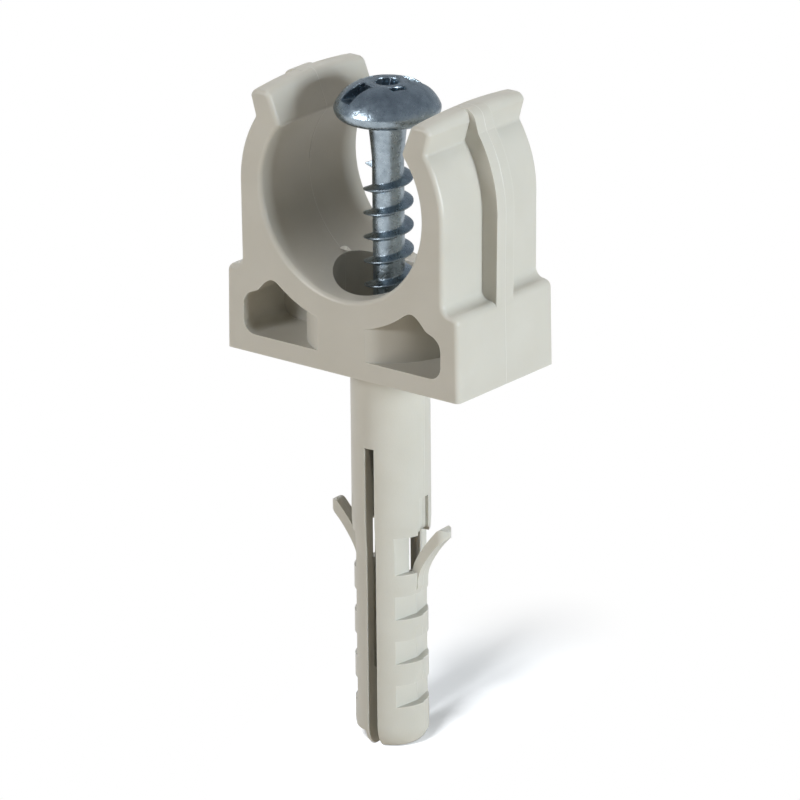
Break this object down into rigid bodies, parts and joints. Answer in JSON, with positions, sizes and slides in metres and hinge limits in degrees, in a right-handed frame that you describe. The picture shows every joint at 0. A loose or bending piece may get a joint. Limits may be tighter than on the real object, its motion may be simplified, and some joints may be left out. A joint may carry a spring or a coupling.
{
  "type": "pipe clip",
  "caption": "Snap-in pipe clip of moulded plastic, with its barbed wall plug and a pan head screw driven part way in.",
  "frame": {"origin": "centre of the screw hole, in the plane of the wall", "axes": "+Z out of the wall along the screw, Y along the pipe, X across the pipe"},
  "size_m": [0.0294, 0.0154, 0.0694],
  "materials": {
    "clip_plastic": "light warm grey, satin moulded",
    "plug_plastic": "light warm grey, satin moulded",
    "screw_steel": "bright zinc plate with a blue tint"
  },
  "bodies": {
    "clip": {"clip_body": "clip_plastic", "wall_plug": "plug_plastic"},
    "driven_screw": {"screw": "screw_steel"}
  },
  "joints": [
    {"name": "screw_drive", "type": "slide", "parent": "clip", "child": "driven_screw", "axis": [0, 0, -1], "range_m": [-0.013, 0.0213]}
  ]
}
